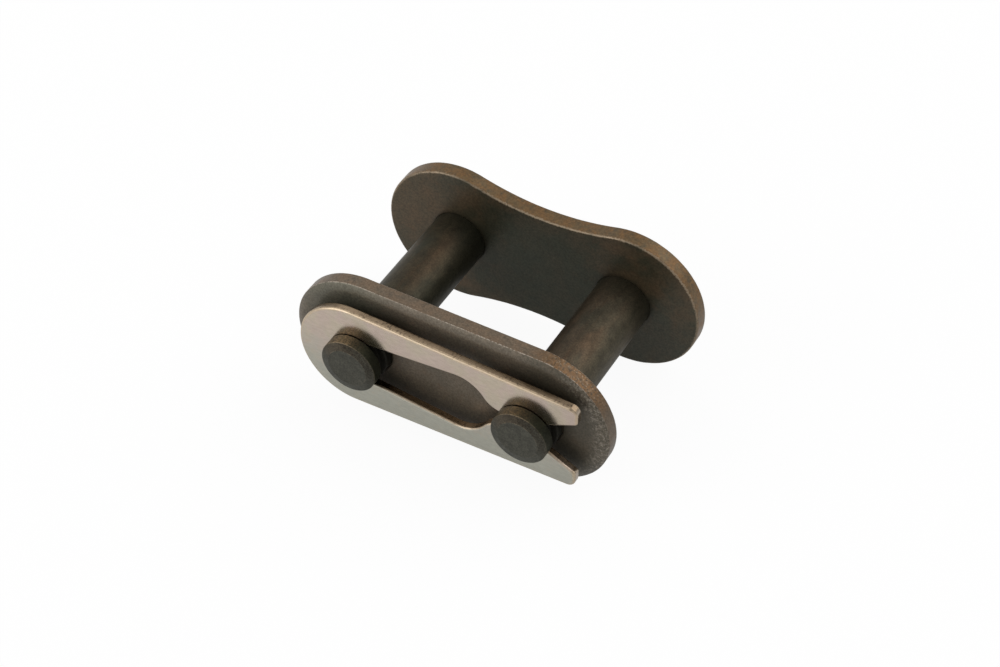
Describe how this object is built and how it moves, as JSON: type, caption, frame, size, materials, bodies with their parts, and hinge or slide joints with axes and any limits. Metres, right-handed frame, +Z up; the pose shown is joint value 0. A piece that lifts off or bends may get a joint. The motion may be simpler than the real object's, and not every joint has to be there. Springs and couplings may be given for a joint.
{
  "type": "chain connecting link",
  "caption": "Roller chain connecting link: waisted back plate with riveted pins, slip-on cover plate and a one-piece spring clip seated in the pins' grooves.",
  "frame": {"origin": "the middle of the pitch line between the two pin axes, half-way between the plates' inner faces", "axes": "+X from the pin at the clip's closed end to the pin at its open end, +Y along the pins from the clip to the back plate, +Z up, across the plates' height; the link stands on its plates' lower edges"},
  "size_m": [0.0298, 0.0203, 0.0134],
  "materials": {
    "plate_steel": "dark heat-treated steel, worn bright along its edges, with faint rust",
    "pin_steel": "dark oiled steel with brown streaks",
    "clip_steel": "satin spring steel"
  },
  "bodies": {
    "link": {"back_plate": "plate_steel", "pin_a": "pin_steel", "pin_b": "pin_steel"},
    "cover": {"cover_plate": "plate_steel"},
    "clip": {"spring_clip": "clip_steel"}
  },
  "joints": [
    {"name": "cover_slide", "type": "slide", "parent": "link", "child": "cover", "axis": [0, 1, 0], "range_m": [-0.00076, 0.01375]},
    {"name": "clip_slide", "type": "slide", "parent": "link", "child": "clip", "axis": [-1, 0, 0], "range_m": [0, 0.0096], "deforming": ["spring_clip"]}
  ]
}
